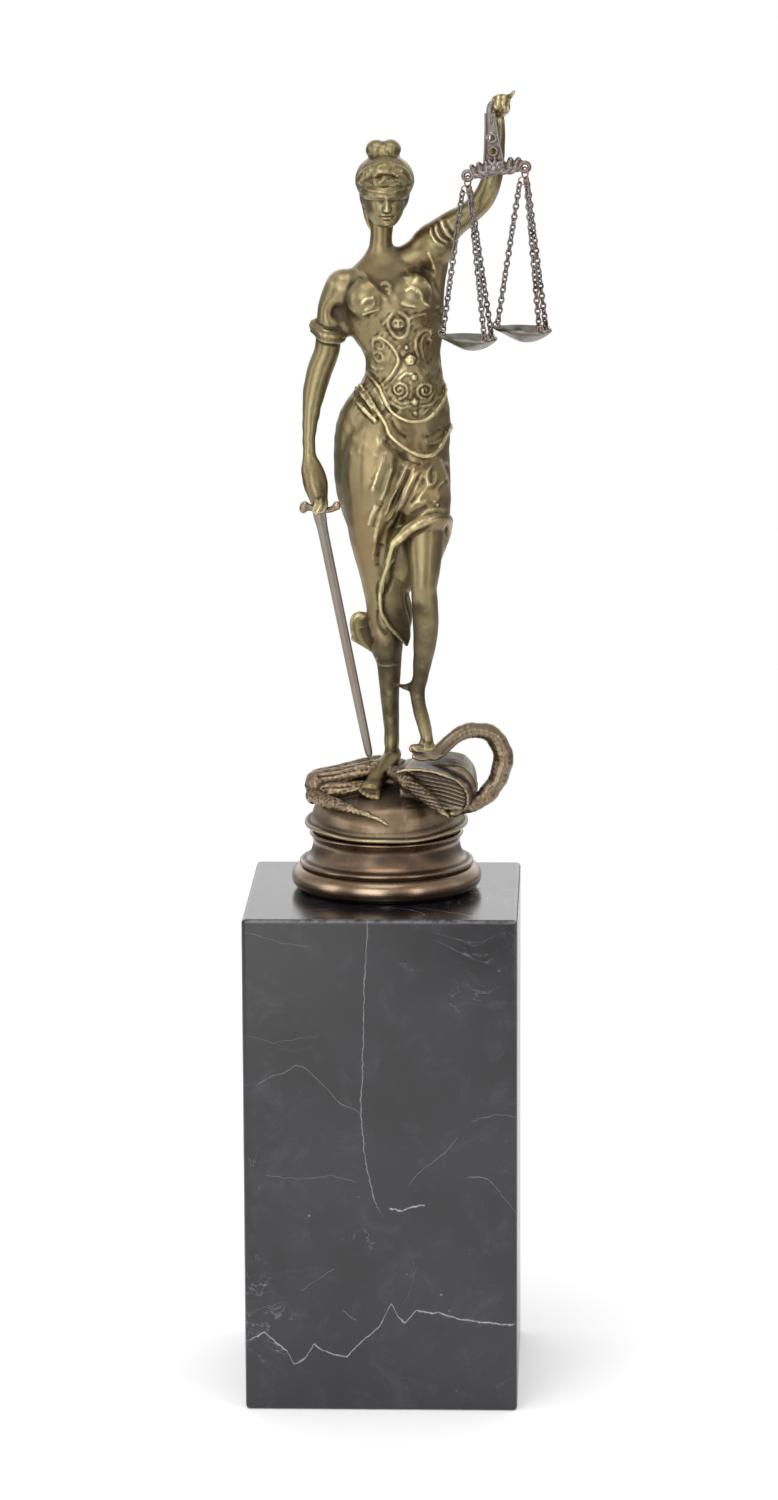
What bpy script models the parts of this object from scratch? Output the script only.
"""Lady justice statue: a bronze casting with sword and scales on a turned socle and a marble block."""
import math

import bmesh
import bpy
import numpy as np
from mathutils import Matrix, Vector

GAP = 0.0003

# Marble block
PLINTH_WIDTH = 0.100
PLINTH_DEPTH = 0.100
PLINTH_HEIGHT = 0.185
PLINTH_BEVEL = 0.0014

# Turned socle, standing a little behind the middle of the block
SOCLE_SET_X = 0.0008
SOCLE_SET_Y = 0.0060
SOCLE_HEIGHT = 0.0215
SOCLE_BASE_RADIUS = 0.0352
SOCLE_TORUS_RADIUS = 0.0044
SOCLE_NECK_RADIUS = 0.0272
SOCLE_NECK_HEIGHT = 0.0175
SOCLE_SHOULDER_RADIUS = 0.0302
SOCLE_TOP_RADIUS = 0.0286
SOCLE_BEAD_INSET = 0.0030
SOCLE_BEAD_HEIGHT = 0.0022
SOCLE_GROOVE = 0.0010
SOCLE_SEGMENTS = 28

# The casting: its forms are shares of the woman's own height
FIGURE_HEIGHT = 0.240
FIGURE_UNITS = 240.0
FIGURE_VOXEL = 1.1
FIGURE_TRIANGLES = 4860
LIP_OVERHANG = 0.0016
LIP_THICKNESS = 0.0028
LIP_DIP = 0.0012

# Sword
BLADE_WIDTH = 0.0036
BLADE_THICKNESS = 0.0016
GUARD_RADIUS = 0.0014
KNOB_RADIUS = 0.0021
GRIP_RADIUS = 0.0012
GRIP_LENGTH = 0.0060

# Scales
BEAM_SPAN = 0.0207
BEAM_TILT = 8.5
BEAM_RADIUS = 0.0013
HANDLE_WIDTH_TOP = 0.0034
HANDLE_WIDTH_BOTTOM = 0.0084
HANDLE_THICKNESS = 0.0016
HANDLE_HOLE_RADIUS = 0.0011
HANDLE_HOLE_RISE = 0.0072
HANDLE_HOLE_PITCH = 0.0048
HOOK_RADIUS = 0.0011
EYE_RADIUS = 0.0017
EYE_WIRE = 0.0007
RING_RADIUS = 0.0021
RING_WIRE = 0.00045
CHAIN_LENGTH = 0.0530
CHAIN_PITCH = 0.0019
CHAIN_WIDTH = 0.0015
CHAIN_THIN = 0.0008
PAN_RADIUS = 0.0092
PAN_EAR_REACH = 0.0126
PAN_EAR_HOLE_IN = 0.0013
PAN_EAR_HOLE_RADIUS = 0.0005
PAN_DEPTH = 0.0043
PAN_WALL = 0.0009
PAN_TURN = -6.0
PAN_TILT = 3.0
LEFT_SWING = 0.0014
RIGHT_SWING = 0.0006

UNIT = FIGURE_HEIGHT / FIGURE_UNITS
SOCLE_BOTTOM_Z = PLINTH_HEIGHT + GAP
SEAT_Z = SOCLE_BOTTOM_Z + SOCLE_HEIGHT + GAP
SEAT_UNITS = 22.1

for old in list(bpy.data.objects):
    bpy.data.objects.remove(old, do_unlink=True)


def new_collection(name):
    collection = bpy.data.collections.new(name)
    bpy.context.scene.collection.children.link(collection)
    return collection


STATUE = new_collection("lady_justice_statue")
CUTTERS = new_collection("cutters")


def place(x, y, h):
    """A point of the casting: figure units over the block, put where the socle carries it."""
    return Vector((SOCLE_SET_X + (x - 0.8) * UNIT,
                   SOCLE_SET_Y + (y - 6.0) * UNIT,
                   SEAT_Z + (h - SEAT_UNITS) * UNIT))


def make_material(name, colour, roughness, metallic):
    material = bpy.data.materials.new(name)
    material.use_nodes = True
    shader = material.node_tree.nodes["Principled BSDF"]
    shader.inputs["Base Color"].default_value = (*colour, 1.0)
    shader.inputs["Roughness"].default_value = roughness
    shader.inputs["Metallic"].default_value = metallic
    return material


MARBLE = make_material("black marble", (0.035, 0.034, 0.036), 0.35, 0.0)
SOCLE_BRONZE = make_material("red brown bronze", (0.23, 0.12, 0.07), 0.40, 1.0)
FIGURE_BRONZE = make_material("olive bronze", (0.30, 0.23, 0.10), 0.42, 1.0)
BLADE_METAL = make_material("grey brown bronze", (0.24, 0.19, 0.15), 0.42, 1.0)
GUN_METAL = make_material("dull gunmetal", (0.22, 0.18, 0.15), 0.45, 1.0)
COPPER = make_material("copper wire", (0.50, 0.28, 0.19), 0.38, 1.0)


def new_object(name, mesh, material=None, collection=STATUE):
    item = bpy.data.objects.new(name, mesh)
    if material:
        mesh.materials.append(material)
    collection.objects.link(item)
    return item


def make_cutter(name, mesh):
    cutter = new_object(name, mesh, None, CUTTERS)
    cutter.hide_render = True
    cutter.display_type = "WIRE"
    return cutter


def cut(item, cutter, operation="DIFFERENCE"):
    boolean = item.modifiers.new(cutter.name, "BOOLEAN")
    boolean.operation = operation
    boolean.solver = "EXACT"
    boolean.object = cutter


def evaluated_mesh(item):
    """The mesh of an object with its modifiers, as a mesh of its own."""
    graph = bpy.context.evaluated_depsgraph_get()
    graph.update()
    return bpy.data.meshes.new_from_object(item.evaluated_get(graph))


def mesh_from_bmesh(name, bm):
    mesh = bpy.data.meshes.new(name)
    bm.to_mesh(mesh)
    bm.free()
    return mesh


def eased(points, steps):
    """Points on a smooth curve through the given ones, each with as many values."""
    rows = np.array(points, dtype=float)
    ends = np.vstack([2 * rows[0] - rows[1], rows, 2 * rows[-1] - rows[-2]])
    out = []
    for i in range(len(rows) - 1):
        a, b, c, d = ends[i:i + 4]
        for k in range(steps):
            t = k / steps
            out.append(0.5 * (2 * b + (c - a) * t + (2 * a - 5 * b + 4 * c - d) * t * t
                              + (3 * b - a - 3 * c + d) * t ** 3))
    out.append(rows[-1])
    return np.array(out)


def tube_mesh(name, points, radii, sides=2, closed=False):
    """A round tube through points in metres, with a radius at each and filled caps."""
    curve = bpy.data.curves.new(name, "CURVE")
    curve.dimensions = "3D"
    curve.bevel_depth = 1.0
    curve.bevel_resolution = sides
    curve.use_fill_caps = not closed
    spline = curve.splines.new("POLY")
    spline.points.add(len(points) - 1)
    for point, co, radius in zip(spline.points, points, radii):
        point.co = (*co, 1.0)
        point.radius = radius
    spline.use_cyclic_u = closed
    item = bpy.data.objects.new(name, curve)
    bpy.context.scene.collection.objects.link(item)
    mesh = evaluated_mesh(item)
    bpy.data.objects.remove(item)
    bpy.data.curves.remove(curve)
    bm = bmesh.new()
    bm.from_mesh(mesh)
    bpy.data.meshes.remove(mesh)
    bmesh.ops.remove_doubles(bm, verts=bm.verts, dist=1e-7)
    bmesh.ops.recalc_face_normals(bm, faces=bm.faces)
    return mesh_from_bmesh(name, bm)


class Clay:
    """Closed forms gathered in one mesh, given in figure units, to be remeshed as one body."""

    def __init__(self):
        self.bm = bmesh.new()

    def limb(self, points, steps=4, sides=4):
        """A round limb through rows of x, y, h and radius, with round ends."""
        rows = eased(points, steps)
        spots = [place(*row[:3]) for row in rows]
        radii = [row[3] * UNIT for row in rows]
        mesh = tube_mesh("limb", spots, radii, sides)
        self.bm.from_mesh(mesh)
        bpy.data.meshes.remove(mesh)
        for spot, radius in ((spots[0], radii[0]), (spots[-1], radii[-1])):
            bmesh.ops.create_uvsphere(self.bm, u_segments=14, v_segments=9, radius=radius,
                                      matrix=Matrix.Translation(spot))

    def ball(self, x, y, h, a, b, c, lean=0.0, turn=0.0, nod=0.0):
        """An ellipsoid with half axes a, b, c, leaned about Y, nodded about X, turned about Z."""
        matrix = (Matrix.Translation(place(x, y, h))
                  @ Matrix.Rotation(math.radians(turn), 4, "Z")
                  @ Matrix.Rotation(math.radians(lean), 4, "Y")
                  @ Matrix.Rotation(math.radians(nod), 4, "X")
                  @ Matrix.Diagonal((a * UNIT, b * UNIT, c * UNIT, 1.0)))
        bmesh.ops.create_uvsphere(self.bm, u_segments=24, v_segments=16, radius=1.0, matrix=matrix)

    def box(self, x, y, h, width, depth, height, turn=0.0, lean=0.0, rounding=0.8):
        """A block with rounded edges."""
        matrix = (Matrix.Translation(place(x, y, h))
                  @ Matrix.Rotation(math.radians(turn), 4, "Z")
                  @ Matrix.Rotation(math.radians(lean), 4, "Y")
                  @ Matrix.Diagonal((width * UNIT, depth * UNIT, height * UNIT, 1.0)))
        cube = bmesh.ops.create_cube(self.bm, size=1.0, matrix=matrix)
        edges = {edge for vert in cube["verts"] for edge in vert.link_edges}
        bmesh.ops.bevel(self.bm, geom=list(edges), offset=rounding * UNIT, segments=2,
                        profile=0.5, affect="EDGES")

    def loft(self, sections, steps=3, around=32, square=2.0):
        """A body through oval sections of h, x, y, half width and half depth, from the top down."""
        rings = []
        for h, x, y, a, b in eased(sections, steps):
            ring = []
            for k in range(around):
                angle = 2 * math.pi * k / around
                c, s = math.cos(angle), math.sin(angle)
                ring.append(self.bm.verts.new(place(
                    x + a * math.copysign(abs(c) ** (2 / square), c),
                    y + b * math.copysign(abs(s) ** (2 / square), s), h)))
            rings.append(ring)
        for upper, lower in zip(rings, rings[1:]):
            for k in range(around):
                n = (k + 1) % around
                self.bm.faces.new((upper[k], lower[k], lower[n], upper[n]))
        self.bm.faces.new(rings[0])
        self.bm.faces.new(reversed(rings[-1]))

    def remeshed(self, voxel, smoothing):
        """All forms melted into one closed surface of small even faces."""
        item = new_object("clay", mesh_from_bmesh("clay", self.bm))
        remesh = item.modifiers.new("melt", "REMESH")
        remesh.mode = "VOXEL"
        remesh.voxel_size = voxel
        relax = item.modifiers.new("relax", "SMOOTH")
        relax.factor = 0.5
        relax.iterations = smoothing
        mesh = evaluated_mesh(item)
        bpy.data.objects.remove(item)
        return mesh


# The woman's pose, in figure units: x to her left, y back, h over the block's top
RIGHT_ARM = [(-14.0, 4.5, 223.5, 7.0), (-17.6, 4.8, 217.0, 5.7), (-19.4, 5.0, 209.0, 4.9),
             (-19.9, 5.2, 201.0, 4.8), (-22.4, 4.6, 194.0, 4.8), (-24.4, 3.2, 187.0, 4.5),
             (-25.6, 1.0, 179.5, 3.6), (-26.5, -2.0, 170.0, 2.7), (-26.3, -4.0, 162.5, 2.6)]
RIGHT_HAND = [(-26.0, -4.6, 160.0, 2.8), (-25.0, -6.0, 154.5, 3.9), (-23.4, -7.2, 149.0, 3.9)]
LEFT_ARM = [(17.0, 4.0, 238.5, 7.2), (24.5, 2.0, 245.5, 5.6), (31.6, -2.0, 250.8, 4.5),
            (36.6, -6.0, 256.0, 4.3), (39.8, -8.6, 262.4, 4.0), (41.4, -10.0, 270.8, 3.5),
            (42.4, -10.6, 278.0, 3.0), (42.9, -11.2, 285.4, 2.5)]
LEFT_FIST = (43.6, -12.8, 290.6)
HIP_LEFT = (13.0, 1.0, 150.0, 11.0)
KNEE_LEFT = (15.4, -12.5, 114.5, 5.7)
LEFT_CALF = [KNEE_LEFT, (15.9, -9.5, 106.0, 5.2), (15.8, -7.0, 97.0, 4.7), (15.3, -5.0, 89.0, 3.9),
             (13.9, -4.0, 80.0, 3.0)]
LEFT_FOOT = [(12.6, -3.4, 77.5, 3.1), (13.2, -6.0, 71.5, 2.9), (15.4, -9.5, 64.5, 3.0),
             (17.0, -13.0, 58.6, 2.7)]
LEFT_HEEL = [(12.5, -2.6, 77.5, 2.6), (9.4, -0.6, 76.6, 1.9), (6.4, 3.0, 76.4, 1.1)]
RIGHT_SHIN = [(0.6, 5.0, 100.0, 6.0), (1.9, 6.0, 86.0, 4.9), (2.2, 6.6, 72.0, 3.7),
              (2.8, 7.4, 59.5, 3.0), (2.8, 7.6, 53.0, 3.1)]
RIGHT_FOOT = [(3.6, 10.0, 49.0, 3.2), (1.0, 4.0, 47.0, 3.2), (-2.6, -3.0, 42.5, 3.3),
              (-6.4, -9.5, 38.4, 2.7)]

# Torso and skirt sections: h, x, y, half width, half depth
TORSO = [(236.0, 1.2, 4.0, 6.4, 5.4), (232.0, 1.6, 4.2, 10.4, 7.4), (227.5, 2.8, 4.0, 14.8, 9.0),
         (221.0, 4.2, 3.2, 17.0, 9.8), (214.0, 4.0, 3.0, 17.2, 9.6), (207.0, 5.5, 3.0, 16.8, 9.2),
         (203.5, 6.2, 2.9, 15.6, 9.0), (199.0, 7.5, 2.8, 14.0, 9.0), (191.0, 7.9, 2.6, 14.5, 9.8),
         (184.0, 6.0, 2.8, 17.8, 11.4)]
SKIRT = [(187.0, 7.0, 2.8, 15.8, 10.4), (182.5, 5.6, 3.0, 18.6, 12.0), (176.0, 4.4, 3.2, 20.6, 13.0),
         (166.0, 3.4, 3.6, 21.2, 13.8), (154.0, 3.6, 3.8, 21.3, 14.0), (145.0, 4.4, 4.0, 20.6, 13.4),
         (136.0, 5.6, 4.4, 18.9, 12.0), (127.5, 6.6, 5.0, 16.8, 10.0), (118.6, 5.6, 5.6, 13.0, 8.4),
         (112.0, 3.8, 5.8, 9.4, 7.0)]
SKIRT_RIGHT = [(-1.0, -1.5, 160.0, 14.0), (-2.2, -1.5, 146.0, 12.0), (-2.4, -0.6, 132.0, 9.8),
               (-1.8, 1.4, 119.0, 7.0), (-0.4, 3.8, 108.0, 6.2), (0.8, 5.0, 97.0, 6.3),
               (1.4, 5.6, 89.6, 6.0)]
THIGH_COVER = [(11.0, 0.0, 158.0, 12.0), (14.6, -4.0, 148.0, 11.0), (15.8, -6.4, 142.0, 9.4)]
THIGH = [HIP_LEFT, (15.4, -6.5, 136.0, 7.8), (15.6, -10.5, 124.0, 6.3), KNEE_LEFT]

# Hems are rolled edges of the cloth
THIGH_HEM = [(1.6, -12.4, 126.0, 1.1), (3.4, -13.4, 132.0, 1.3), (8.0, -14.4, 138.6, 1.5),
             (14.6, -15.2, 142.6, 1.7), (20.4, -12.4, 144.6, 1.8), (23.6, -6.6, 142.4, 1.7),
             (24.2, 0.0, 138.6, 1.5), (22.9, 6.0, 131.0, 1.2), (19.6, 8.6, 122.0, 1.0)]
INNER_HEM = [(3.4, -13.4, 132.0, 1.3), (1.6, -13.0, 124.0, 1.4), (0.4, -10.6, 117.0, 1.3),
             (-0.2, -7.6, 108.0, 1.2), (1.4, -5.4, 101.5, 1.2), (6.0, -3.4, 96.6, 1.1),
             (9.0, -1.0, 95.6, 0.9)]
CORSET_RIM = [(-5.4, -1.0, 193.0, 0.9), (-0.8, -8.2, 189.0, 1.1), (3.3, -10.4, 180.6, 1.2),
              (7.7, -11.6, 177.4, 1.2), (12.6, -11.8, 176.3, 1.2), (17.4, -10.8, 177.6, 1.2),
              (22.0, -6.6, 182.4, 1.1), (23.4, -1.0, 186.6, 0.9)]
SASH_RIM = [(-8.4, -6.4, 188.0, 1.2), (-3.0, -10.4, 181.5, 1.3), (1.6, -12.4, 176.0, 1.3),
            (3.6, -13.0, 171.6, 1.4), (9.4, -13.8, 166.8, 1.4), (15.4, -13.6, 164.2, 1.5),
            (20.2, -11.0, 165.4, 1.4), (23.4, -4.6, 170.4, 1.1)]

# Ground, book and snake
BOOK_TURN = -10.0
BOOK_LEAN = 5.0
# The ground's rounds are drawn for a socle top of MOUND_SEAT and spread to the one it has
MOUND = [(38.6, 1.0, 7.0, 8.0, 9.0), (37.6, 0.8, 6.6, 15.0, 15.0), (35.6, 0.8, 6.2, 20.8, 20.4),
         (32.6, 0.8, 6.0, 24.8, 24.6), (29.0, 0.8, 6.0, 27.0, 27.0), (25.4, 0.8, 6.0, 28.0, 28.0),
         (21.0, 0.8, 6.0, 28.2, 28.2)]
MOUND_SEAT = 28.6
SNAKE = [(10.8, -15.6, 54.6, 1.9), (13.6, -15.0, 54.6, 2.8), (18.0, -13.2, 53.8, 2.5),
         (24.6, -8.0, 58.2, 2.5), (31.0, -3.6, 61.2, 2.9), (37.4, -1.0, 61.0, 3.2),
         (42.6, 0.6, 57.6, 3.5), (45.2, 1.0, 51.6, 3.6), (43.4, 0.6, 44.6, 3.5),
         (38.8, -1.6, 38.0, 3.3), (33.4, -4.6, 33.8, 3.0), (26.0, -7.0, 31.4, 2.2)]
TAIL_RIGHT = [(5.6, -6.6, 43.6, 2.9), (11.4, -12.4, 41.6, 3.1), (17.6, -17.4, 36.4, 2.4),
              (22.4, -18.6, 31.6, 1.2)]
TAIL_LEFT = [(-24.4, -5.0, 34.4, 3.0), (-19.4, -12.6, 33.4, 2.7), (-11.0, -19.4, 31.2, 1.9),
             (-2.0, -22.6, 28.0, 1.0), (3.6, -23.6, 26.0, 0.6)]


def model_body(clay):
    clay.loft(TORSO)
    clay.loft(SKIRT)
    clay.ball(-5.4, -5.4, 219.8, 5.6, 5.2, 5.4)
    clay.ball(11.5, -5.4, 222.0, 5.8, 5.3, 5.6)
    clay.ball(9.2, -3.0, 191.0, 9.6, 6.0, 10.0)
    clay.limb([(-13.0, 4.4, 223.0, 6.6), (0.0, 4.6, 229.0, 5.2), (17.0, 4.2, 237.0, 6.6)])
    clay.limb([(0.2, 3.2, 246.0, 4.3), (-0.2, 3.6, 239.0, 4.3), (0.4, 4.0, 232.0, 5.6),
               (1.0, 4.2, 227.0, 8.0)])
    clay.ball(19.6, 3.4, 239.6, 7.4, 7.2, 8.0, lean=-30)
    clay.limb([(23.4, 2.4, 236.6, 3.8), (26.6, 1.4, 243.4, 4.6), (27.6, 0.6, 247.6, 4.4)])
    clay.limb([(20.0, 4.0, 232.0, 4.6), (20.2, 3.6, 224.0, 3.0), (21.2, 3.6, 212.0, 1.6)])


def model_head(clay):
    clay.ball(1.4, -0.6, 254.8, 7.4, 8.4, 9.8, turn=8, nod=-6)
    clay.ball(2.2, -5.2, 248.8, 3.9, 3.4, 3.6)
    clay.ball(1.3, 2.6, 262.6, 10.7, 11.2, 9.6)
    clay.ball(1.2, 3.6, 257.6, 9.2, 8.4, 9.4)
    clay.ball(0.2, 8.0, 254.0, 7.6, 5.6, 9.4)
    clay.ball(-1.7, 4.0, 273.6, 4.0, 4.4, 3.8)
    clay.ball(3.6, 4.0, 273.8, 3.7, 4.4, 3.7)
    clay.limb([(-6.8, -4.0, 263.6, 2.2), (-3.4, -7.2, 266.8, 2.6), (2.4, -8.2, 268.0, 2.5),
               (7.6, -5.6, 266.4, 2.6), (9.4, -1.4, 262.4, 2.2)])


def model_arms(clay):
    clay.limb(RIGHT_ARM)
    clay.limb(RIGHT_HAND)
    clay.limb(LEFT_ARM)
    clay.ball(-13.4, 5.0, 212.0, 4.6, 4.4, 7.2)
    clay.limb([(-25.4, 5.2, 209.4, 1.5), (-20.4, -0.6, 206.4, 1.9), (-14.6, 2.8, 206.0, 1.9),
               (-14.8, 8.4, 208.0, 1.5), (-20.4, 10.4, 209.6, 1.5), (-25.4, 5.2, 209.4, 1.5)])
    x, y, h = LEFT_FIST
    clay.ball(x, y, h, 3.4, 3.6, 4.2, lean=10)
    for k in range(4):
        reach = x - 2.4 + k * 1.9
        clay.limb([(reach + 0.4, y - 0.6, h + 3.6, 1.1), (reach, y - 3.4, h + 2.0, 1.1),
                   (reach - 0.3, y - 3.6, h - 1.4, 1.0)])
    clay.limb([(x + 3.0, y, h + 3.0, 1.0), (x + 4.6, y - 1.6, h + 5.2, 0.8)])


def model_legs(clay):
    clay.limb(THIGH)
    clay.limb(THIGH_COVER)
    clay.limb(LEFT_CALF)
    clay.limb(LEFT_FOOT)
    clay.limb(LEFT_HEEL)
    clay.ball(17.2, -14.0, 57.6, 4.0, 2.2, 1.9, lean=8)
    clay.limb(SKIRT_RIGHT)
    clay.limb(RIGHT_SHIN)
    clay.limb(RIGHT_FOOT)
    clay.ball(-5.4, -8.6, 38.6, 3.9, 3.2, 2.2, turn=25)
    clay.ball(5.6, 3.4, 105.0, 5.4, 3.2, 11.0, lean=-6)
    clay.ball(-8.0, 7.4, 98.6, 5.4, 2.6, 7.2, lean=16)
    clay.limb([(-10.0, 7.4, 94.6, 1.4), (-5.0, 6.8, 90.4, 1.6), (0.0, 4.0, 88.4, 1.2)])


def model_drapery(clay):
    for hem in (THIGH_HEM, INNER_HEM, CORSET_RIM, SASH_RIM):
        clay.limb(hem)
    clay.limb([(14.6, -14.4, 161.0, 1.0), (16.0, -15.0, 156.6, 1.1), (18.0, -14.2, 160.8, 1.0)])
    clay.limb([(20.0, -12.0, 163.6, 1.0), (22.6, -11.6, 158.6, 1.1), (21.0, -11.0, 162.0, 1.0)])


def model_ground(clay):
    spread = SOCLE_TOP_RADIUS / (UNIT * MOUND_SEAT)
    clay.loft([(h, x, y, a * spread, b * spread) for h, x, y, a, b in MOUND], around=40)
    clay.ball(4.6, 10.4, 39.6, 8.4, 7.6, 6.4)
    clay.ball(-8.8, 9.0, 40.4, 12.0, 9.0, 6.6, lean=-15)
    clay.ball(-22.4, 3.0, 38.6, 6.0, 8.4, 6.2)
    clay.ball(12.0, 16.0, 38.0, 14.0, 10.0, 6.0)
    clay.box(19.2, -1.0, 41.6, 24.0, 20.0, 10.4, BOOK_TURN, BOOK_LEAN)
    clay.box(19.6, -1.0, 47.2, 25.4, 22.8, 2.0, BOOK_TURN, BOOK_LEAN)
    clay.box(30.9, -3.0, 40.4, 3.4, 22.8, 13.4, BOOK_TURN, BOOK_LEAN, rounding=1.5)
    clay.limb(SNAKE)
    clay.limb(TAIL_RIGHT)
    clay.limb(TAIL_LEFT)


def model_lip(clay):
    """The wavy lip of the ground, hanging a little over the socle's rim."""
    radius = (SOCLE_TOP_RADIUS + LIP_OVERHANG) / UNIT - 0.5 * LIP_THICKNESS / UNIT
    rim = []
    for k in range(49):
        angle = 2 * math.pi * k / 48
        dip = math.exp(-((math.sin(0.5 * (angle + math.pi / 2))) ** 2) / 0.10)
        lift = 0.35 * math.sin(3 * angle + 0.6) - LIP_DIP / UNIT * dip
        rim.append((0.8 + radius * math.cos(angle), 6.0 + radius * math.sin(angle),
                    SEAT_UNITS + 3.2 + lift, 0.5 * LIP_THICKNESS / UNIT))
    clay.limb(rim, steps=1)


def line_distance(points, route):
    """How far each row of points lies from a broken line, and how far along it."""
    best = np.full(len(points), 1e9)
    along = np.zeros(len(points))
    walked = 0.0
    for a, b in zip(route, route[1:]):
        ab = b - a
        length = float(np.linalg.norm(ab))
        t = np.clip((points - a) @ ab / (length * length), 0.0, 1.0)
        gap = np.linalg.norm(points - (a + t[:, None] * ab), axis=1)
        nearer = gap < best
        best[nearer] = gap[nearer]
        along[nearer] = walked + t[nearer] * length
        walked += length
    return best, along / walked


# Where the faces stay finer: middle, reach and share of thinning
DETAILS = [(LEFT_FIST, 9.0, 0.4), (RIGHT_HAND[1][:3], 9.0, 0.6), (LEFT_FOOT[-1][:3], 8.0, 0.7),
           (RIGHT_FOOT[-1][:3], 7.0, 0.8), ((1.4, 0.0, 256.0), 14.0, 0.9)]
DETAIL_CARE = 0.0002

# Folds seen from the front: route in x and h, width and height, all in figure units
FOLDS = [([(0.6, 172.0), (-2.0, 160.0), (-6.6, 147.0)], 1.5, -1.0),
         ([(4.0, 166.0), (0.0, 150.0), (-4.4, 138.0)], 1.4, 0.9),
         ([(9.6, 159.0), (3.0, 146.0), (-3.4, 134.0)], 1.5, -1.2),
         ([(12.0, 157.0), (6.0, 147.0), (0.4, 137.0)], 1.4, 0.9),
         ([(14.4, 156.0), (8.6, 147.4), (3.4, 140.0)], 1.3, -0.9),
         ([(23.0, 153.0), (19.6, 149.0), (21.0, 146.4)], 1.2, -0.7),
         ([(-11.6, 233.0), (-5.6, 227.0), (0.6, 220.4)], 0.9, 0.7),
         ([(-10.0, 215.0), (-5.0, 212.4), (0.0, 214.6)], 1.1, -0.8),
         ([(6.0, 217.6), (10.6, 214.2), (16.4, 216.0)], 1.1, -0.8)]


def carve_folds(mesh):
    """Press the folds into the cloth, along the surface, on the side that faces forward."""
    count = len(mesh.vertices)
    spots = np.empty(count * 3)
    normals = np.empty(count * 3)
    mesh.vertices.foreach_get("co", spots)
    mesh.vertices.foreach_get("normal", normals)
    spots, normals = spots.reshape(-1, 3), normals.reshape(-1, 3)
    origin = np.array(place(0.0, 0.0, 0.0))
    flat = (spots - origin)[:, [0, 2]] / UNIT
    facing = np.clip(-normals[:, 1] * 2.0, 0.0, 1.0)
    push = np.zeros(count)
    for route, width, height in FOLDS:
        gap, along = line_distance(flat, eased(route, 3))
        fade = np.clip(4.0 * along * (1.0 - along) + 0.35, 0.0, 1.0)
        push += height * fade * np.exp(-(gap / width) ** 2)
    spots += normals * (push * facing * UNIT)[:, None]
    mesh.vertices.foreach_set("co", spots.ravel())
    mesh.update()


def mark_details(item):
    """A vertex group that keeps hands, feet and head finer than broad cloth and ground."""
    count = len(item.data.vertices)
    spots = np.empty(count * 3)
    item.data.vertices.foreach_get("co", spots)
    spots = spots.reshape(-1, 3)
    weight = np.ones(count)
    for spot, reach, value in DETAILS:
        near = np.linalg.norm(spots - np.array(place(*spot)), axis=1) < reach * UNIT
        weight[near] = np.minimum(weight[near], value)
    group = item.vertex_groups.new(name="detail")
    for value in np.unique(weight):
        group.add(np.flatnonzero(weight == value).tolist(), float(value), "REPLACE")
    return group


def build_figure():
    clay = Clay()
    for step in (model_body, model_head, model_arms, model_legs, model_drapery, model_ground,
                 model_lip):
        step(clay)
    mesh = clay.remeshed(FIGURE_VOXEL * UNIT, 2)
    carve_folds(mesh)
    faces = sum(len(polygon.vertices) - 2 for polygon in mesh.polygons)
    rough = new_object("rough casting", mesh)
    thin = rough.modifiers.new("thin", "DECIMATE")
    thin.ratio = FIGURE_TRIANGLES / faces
    thin.vertex_group = mark_details(rough).name
    thin.vertex_group_factor = DETAIL_CARE
    thin.use_collapse_triangulate = True
    lighter = evaluated_mesh(rough)
    bpy.data.objects.remove(rough)
    figure = new_object("justice_figure", lighter, FIGURE_BRONZE)
    under = bmesh.new()
    reach = 4 * SOCLE_BASE_RADIUS
    bmesh.ops.create_cube(under, size=reach, matrix=Matrix.Translation(
        (SOCLE_SET_X, SOCLE_SET_Y, SEAT_Z - 0.5 * reach)))
    cut(figure, make_cutter("seat_cutter", mesh_from_bmesh("seat_cutter", under)))
    return figure


def build_plinth():
    bm = bmesh.new()
    bmesh.ops.create_cube(bm, size=1.0, matrix=Matrix.Translation((0, 0, 0.5 * PLINTH_HEIGHT))
                          @ Matrix.Diagonal((PLINTH_WIDTH, PLINTH_DEPTH, PLINTH_HEIGHT, 1.0)))
    plinth = new_object("marble_plinth", mesh_from_bmesh("marble_plinth", bm), MARBLE)
    bevel = plinth.modifiers.new("worn edges", "BEVEL")
    bevel.width = PLINTH_BEVEL
    bevel.segments = 2
    return plinth


def socle_profile():
    """Radius and height of the turned outline, from the top down."""
    torus = SOCLE_TORUS_RADIUS
    groove = 2 * torus + GAP
    bead = SOCLE_BASE_RADIUS - SOCLE_BEAD_INSET
    shoulder = groove + SOCLE_BEAD_HEIGHT
    points = [(0.0, SOCLE_HEIGHT), (SOCLE_TOP_RADIUS, SOCLE_HEIGHT)]
    for k in range(1, 4):
        share = k / 3
        points.append((SOCLE_NECK_RADIUS + (SOCLE_TOP_RADIUS - SOCLE_NECK_RADIUS) * (1 - share) ** 2,
                       SOCLE_HEIGHT - (SOCLE_HEIGHT - SOCLE_NECK_HEIGHT) * share))
    for k in range(1, 6):
        share = k / 5
        points.append((SOCLE_NECK_RADIUS + (SOCLE_SHOULDER_RADIUS - SOCLE_NECK_RADIUS) * share ** 1.7,
                       SOCLE_NECK_HEIGHT - (SOCLE_NECK_HEIGHT - shoulder) * share))
    points += [(bead, groove + 0.45 * SOCLE_BEAD_HEIGHT), (bead, groove + 0.2 * SOCLE_BEAD_HEIGHT),
               (bead - SOCLE_GROOVE, groove)]
    centre = SOCLE_BASE_RADIUS - torus
    for k in range(7):
        angle = math.radians(75 - 147 * k / 6)
        points.append((centre + torus * math.cos(angle), torus + torus * math.sin(angle)))
    points += [(centre + torus * math.cos(math.radians(72)), 0.0), (0.0, 0.0)]
    return points


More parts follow.
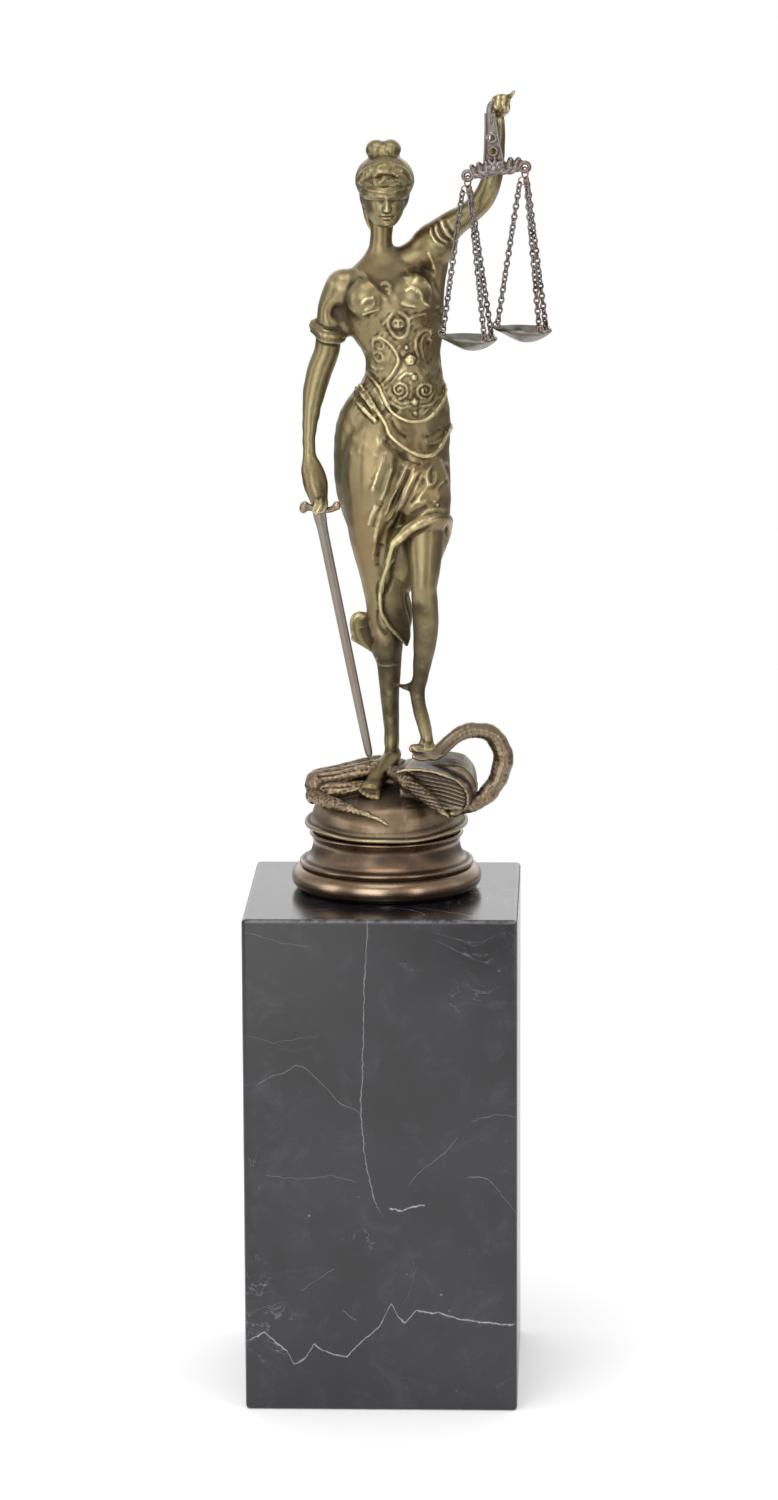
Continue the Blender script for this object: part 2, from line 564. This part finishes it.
def turned(name, profile, segments, material, location):
    bm = bmesh.new()
    verts = [bm.verts.new((radius, 0.0, height)) for radius, height in profile]
    for a, b in zip(verts, verts[1:]):
        bm.edges.new((a, b))
    item = new_object(name, mesh_from_bmesh(name, bm), material)
    item.location = location
    screw = item.modifiers.new("turn", "SCREW")
    screw.steps = segments
    screw.render_steps = segments
    screw.use_merge_vertices = True
    screw.merge_threshold = 0.00001
    return item


def build_socle():
    return turned("bronze_socle", socle_profile(), SOCLE_SEGMENTS, SOCLE_BRONZE,
                  (SOCLE_SET_X, SOCLE_SET_Y, SOCLE_BOTTOM_Z))


# Sword: the guard's middle under her right hand, and the point on the ground
GUARD_SPOT = (-23.0, -7.6, 144.0)
POINT_SPOT = (-5.2, 1.6, 50.2)
GUARD_KNOBS = ((-27.8, -7.8, 144.4), (-16.6, -9.8, 143.8))


def ball_mesh(spot, radius, around=8):
    bm = bmesh.new()
    bmesh.ops.create_uvsphere(bm, u_segments=around, v_segments=around - 2, radius=radius,
                              matrix=Matrix.Translation(spot))
    return mesh_from_bmesh("ball", bm)


def blade_mesh(extra):
    """A narrow blade of diamond section, swelling under the guard and blunt at its point."""
    top, tip = place(*GUARD_SPOT), place(*POINT_SPOT)
    run = tip - top
    along = run.normalized()
    across = Vector((1, 0, 0)) - along * along.x
    across.normalize()
    through = along.cross(across)
    bm = bmesh.new()
    rings = []
    for share, swell in ((0.0, 1.30), (0.05, 1.25), (0.10, 1.04), (0.5, 1.0), (0.97, 0.9), (1.0, 0.5)):
        middle = top + run * share + along * (extra if share == 1.0 else 0.0)
        half = 0.5 * BLADE_WIDTH * swell + extra
        thick = 0.5 * BLADE_THICKNESS + extra
        rings.append([bm.verts.new(middle + across * half * a + through * thick * b)
                      for a, b in ((1, 0), (0.35, 0.8), (-0.35, 0.8), (-1, 0), (-0.35, -0.8), (0.35, -0.8))])
    for upper, lower in zip(rings, rings[1:]):
        for k in range(6):
            n = (k + 1) % 6
            bm.faces.new((upper[k], upper[n], lower[n], lower[k]))
    bm.faces.new(reversed(rings[0]))
    bm.faces.new(rings[-1])
    bmesh.ops.recalc_face_normals(bm, faces=bm.faces)
    return mesh_from_bmesh("blade", bm)


def sword_meshes(extra=0.0):
    """Guard, knobs, grip and blade as closed forms, each thicker by extra."""
    left, right = (place(*spot) for spot in GUARD_KNOBS)
    middle = place(*GUARD_SPOT)
    rise = (middle - place(*POINT_SPOT)).normalized()
    guard = [left, left.lerp(middle, 0.5), middle, middle.lerp(right, 0.5), right]
    grip = [middle, middle + rise * (GRIP_LENGTH + extra)]
    return [tube_mesh("guard", guard, [GUARD_RADIUS + extra] * 5, 2),
            ball_mesh(left, KNOB_RADIUS + extra), ball_mesh(right, 0.8 * KNOB_RADIUS + extra),
            tube_mesh("grip", grip, [GRIP_RADIUS + extra] * 2, 2), blade_mesh(extra)]


def unite(name, meshes, material=None, collection=STATUE):
    """One body from closed forms that pass into each other."""
    base = new_object(name, meshes[0], material, collection)
    for number, mesh in enumerate(meshes[1:]):
        cut(base, make_cutter(f"{name}_form_{number}", mesh), "UNION")
    solid = evaluated_mesh(base)
    base.modifiers.clear()
    base.data = solid
    for number in range(len(meshes) - 1):
        bpy.data.objects.remove(bpy.data.objects[f"{name}_form_{number}"])
    return base


def leave_room(figure, name, meshes):
    """Cut the space of a loose piece, given thicker by the gap, out of the casting."""
    clearance = unite(name, meshes, None, CUTTERS)
    clearance.hide_render = True
    clearance.display_type = "WIRE"
    cut(figure, clearance)


def build_sword(figure):
    unite("sword", sword_meshes(), BLADE_METAL)
    leave_room(figure, "sword_clearance", sword_meshes(GAP))


# Scales: the beam hangs in front of her left forearm, its handle hooked in the fist
BEAM_SPOT = (42.0, -16.9, 267.4)
HANDLE_FOOT_SPOT = (41.4, -16.9, 267.4)
HANDLE_TOP_SPOT = (39.7, -16.4, 288.0)


def beam_end(side):
    tilt = math.radians(BEAM_TILT)
    half = 0.5 * BEAM_SPAN
    return place(*BEAM_SPOT) + Vector((side * half * math.cos(tilt), 0.0, side * half * math.sin(tilt)))


def ring_mesh(name, centre, radius, wire, turn=0.0, around=12, sides=0):
    """A closed wire ring, standing upright and turned about the vertical."""
    spots = []
    for k in range(around):
        angle = 2 * math.pi * k / around
        flat = Vector((radius * math.cos(angle), 0.0, radius * math.sin(angle)))
        spots.append(centre + Matrix.Rotation(math.radians(turn), 3, "Z") @ flat)
    return tube_mesh(name, spots, [wire] * around, sides, closed=True)


def handle_mesh(extra=0.0):
    top, foot = place(*HANDLE_TOP_SPOT), place(*HANDLE_FOOT_SPOT)
    bm = bmesh.new()
    rings = []
    for share in (0.0, 0.35, 0.7, 1.0):
        middle = top.lerp(foot, share)
        half = 0.5 * (HANDLE_WIDTH_TOP + (HANDLE_WIDTH_BOTTOM - HANDLE_WIDTH_TOP) * share ** 1.3) + extra
        thick = 0.5 * HANDLE_THICKNESS + extra
        rings.append([bm.verts.new(middle + Vector((half * a, thick * b, 0.0)))
                      for a, b in ((-1, -0.5), (-0.8, -1), (0.8, -1), (1, -0.5),
                                   (1, 0.5), (0.8, 1), (-0.8, 1), (-1, 0.5))])
    for upper, lower in zip(rings, rings[1:]):
        for k in range(8):
            n = (k + 1) % 8
            bm.faces.new((upper[k], lower[k], lower[n], upper[n]))
    bm.faces.new(rings[0])
    bm.faces.new(reversed(rings[-1]))
    bmesh.ops.recalc_face_normals(bm, faces=bm.faces)
    return mesh_from_bmesh("handle", bm)


def hook_mesh(extra=0.0):
    """The bent end of the handle, going up and into the fist."""
    x, y, h = HANDLE_TOP_SPOT
    route = eased([(x, y, h - 2.0), (x - 0.1, y, h + 1.8), (x + 0.9, y + 0.8, h + 3.6),
                   (x + 2.8, y + 2.6, h + 3.2)], 3)
    return tube_mesh("hook", [place(*row) for row in route], [HOOK_RADIUS + extra] * len(route), 1)


def build_scale_beam(figure):
    left, right = beam_end(-1), beam_end(1)
    middle = place(*BEAM_SPOT)
    inner = 1.0 - EYE_RADIUS / (0.5 * BEAM_SPAN)
    arm = [middle.lerp(left, inner), middle.lerp(left, 0.5 * inner), middle,
           middle.lerp(right, 0.5 * inner), middle.lerp(right, inner)]
    radii = [EYE_WIRE, BEAM_RADIUS, 1.3 * BEAM_RADIUS, BEAM_RADIUS, EYE_WIRE]
    forms = [handle_mesh(), hook_mesh(), tube_mesh("arm", arm, radii, 1),
             ring_mesh("eye", left, EYE_RADIUS, EYE_WIRE), ring_mesh("eye", right, EYE_RADIUS, EYE_WIRE)]
    for side in (-1, 1):
        for share in (0.34, 0.56, 0.76):
            spot = middle.lerp(left if side < 0 else right, share)
            forms.append(ball_mesh(spot + Vector((0, 0, 0.9 * BEAM_RADIUS)), 0.8 * BEAM_RADIUS, 6))
    beam = unite("scale_beam", forms, GUN_METAL)
    for k in range(2):
        rise = (place(*HANDLE_TOP_SPOT) - place(*HANDLE_FOOT_SPOT)).normalized()
        spot = place(*HANDLE_FOOT_SPOT) + rise * (HANDLE_HOLE_RISE + k * HANDLE_HOLE_PITCH)
        bm = bmesh.new()
        bmesh.ops.create_cone(bm, cap_ends=True, segments=12, radius1=HANDLE_HOLE_RADIUS,
                              radius2=HANDLE_HOLE_RADIUS, depth=6 * HANDLE_THICKNESS,
                              matrix=Matrix.Translation(spot) @ Matrix.Rotation(math.pi / 2, 4, "X"))
        cut(beam, make_cutter(f"handle_hole_{k}", mesh_from_bmesh("handle_hole", bm)))
    leave_room(figure, "hook_clearance", [hook_mesh(GAP), handle_mesh(GAP)])
    for name, end, turn in (("left", left, 60), ("right", right, 120)):
        centre = end - Vector((0, 0, RING_RADIUS))
        new_object(f"beam_ring_{name}", ring_mesh("ring", centre, RING_RADIUS, RING_WIRE, turn), COPPER)


def ear_angle(number):
    return math.radians(180 + PAN_TURN + 120 * number)


def pan_reach(angle):
    """The rim's radius, drawn out to a pointed ear at each chain."""
    ear = 0.5 + 0.5 * math.cos(3 * (angle - ear_angle(0)))
    return PAN_RADIUS + (PAN_EAR_REACH - PAN_RADIUS) * ear ** 4


def ear_spot(matrix, number, rise=0.0):
    """The middle of an ear's hole, or a point above it, on a pan that hangs at matrix."""
    reach = PAN_EAR_REACH - PAN_EAR_HOLE_IN
    angle = ear_angle(number)
    return matrix @ Vector((reach * math.cos(angle), reach * math.sin(angle), rise))


def build_pan(name, matrix):
    """A shallow dish whose open surface gets its wall from Solidify."""
    around, rows = 24, 3
    bm = bmesh.new()
    low = bm.verts.new((0, 0, -PAN_DEPTH))
    rings = []
    for row in range(1, rows + 1):
        share = row / rows
        ring = []
        for k in range(around):
            angle = ear_angle(0) + 2 * math.pi * k / around
            reach = PAN_RADIUS * share + (pan_reach(angle) - PAN_RADIUS) * share ** 4
            ring.append(bm.verts.new((reach * math.cos(angle), reach * math.sin(angle),
                                      -PAN_DEPTH * (1 - share ** 2))))
        rings.append(ring)
    for k in range(around):
        n = (k + 1) % around
        bm.faces.new((low, rings[0][k], rings[0][n]))
        for inner, outer in zip(rings, rings[1:]):
            bm.faces.new((inner[k], outer[k], outer[n], inner[n]))
    pan = new_object(name, mesh_from_bmesh(name, bm), GUN_METAL)
    pan.matrix_world = matrix
    wall = pan.modifiers.new("wall", "SOLIDIFY")
    wall.thickness = PAN_WALL
    wall.offset = -1.0
    for number in range(3):
        bm = bmesh.new()
        bmesh.ops.create_cone(bm, cap_ends=True, segments=8, radius1=PAN_EAR_HOLE_RADIUS,
                              radius2=PAN_EAR_HOLE_RADIUS, depth=6 * PAN_WALL,
                              matrix=Matrix.Translation(ear_spot(matrix, number)))
        cut(pan, make_cutter(f"{name}_ear_hole_{number}", mesh_from_bmesh("ear_hole", bm)))
    return pan


def build_chain(name, top, foot):
    """A strand of flat links that turn a quarter from one to the next, fused into one body."""
    run = foot - top
    links = max(2, round(run.length / CHAIN_PITCH))
    along = run.normalized()
    side = Vector((0, 1, 0)).cross(along).normalized()
    front = along.cross(side)
    bm = bmesh.new()
    rings = []
    for k in range(links + 1):
        a, b = (CHAIN_WIDTH, CHAIN_THIN) if k % 2 else (CHAIN_THIN, CHAIN_WIDTH)
        middle = top + run * (k / links)
        rings.append([bm.verts.new(middle + side * 0.5 * a * u + front * 0.5 * b * v)
                      for u, v in ((1, 0), (0, 1), (-1, 0), (0, -1))])
    for upper, lower in zip(rings, rings[1:]):
        for k in range(4):
            n = (k + 1) % 4
            bm.faces.new((upper[k], upper[n], lower[n], lower[k]))
    bm.faces.new(reversed(rings[0]))
    bm.faces.new(rings[-1])
    bmesh.ops.recalc_face_normals(bm, faces=bm.faces)
    return new_object(name, mesh_from_bmesh(name, bm), GUN_METAL)


def build_hanging(name, end, swing):
    """A pan and its three chains, hung under an eye of the beam and swung a little aside."""
    bunch = end - Vector((0, 0, 2 * RING_RADIUS + RING_WIRE + GAP + 0.5 * CHAIN_WIDTH))
    reach = PAN_EAR_REACH - PAN_EAR_HOLE_IN
    drop = math.sqrt(CHAIN_LENGTH ** 2 - (reach - CHAIN_WIDTH) ** 2)
    matrix = (Matrix.Translation(bunch + Vector((swing, 0, -drop)))
              @ Matrix.Rotation(math.radians(PAN_TILT), 4, "Y"))
    build_pan(f"pan_{name}", matrix)
    for number in range(3):
        angle = ear_angle(number)
        way = Vector((math.cos(angle), math.sin(angle), 0.0))
        foot = ear_spot(matrix, number, 0.5 * CHAIN_WIDTH + GAP)
        build_chain(f"chain_{name}_{number + 1}", bunch + way * CHAIN_WIDTH, foot)


build_plinth()
build_socle()
justice = build_figure()
build_sword(justice)
build_scale_beam(justice)
build_hanging("left", beam_end(-1), LEFT_SWING)
build_hanging("right", beam_end(1), RIGHT_SWING)
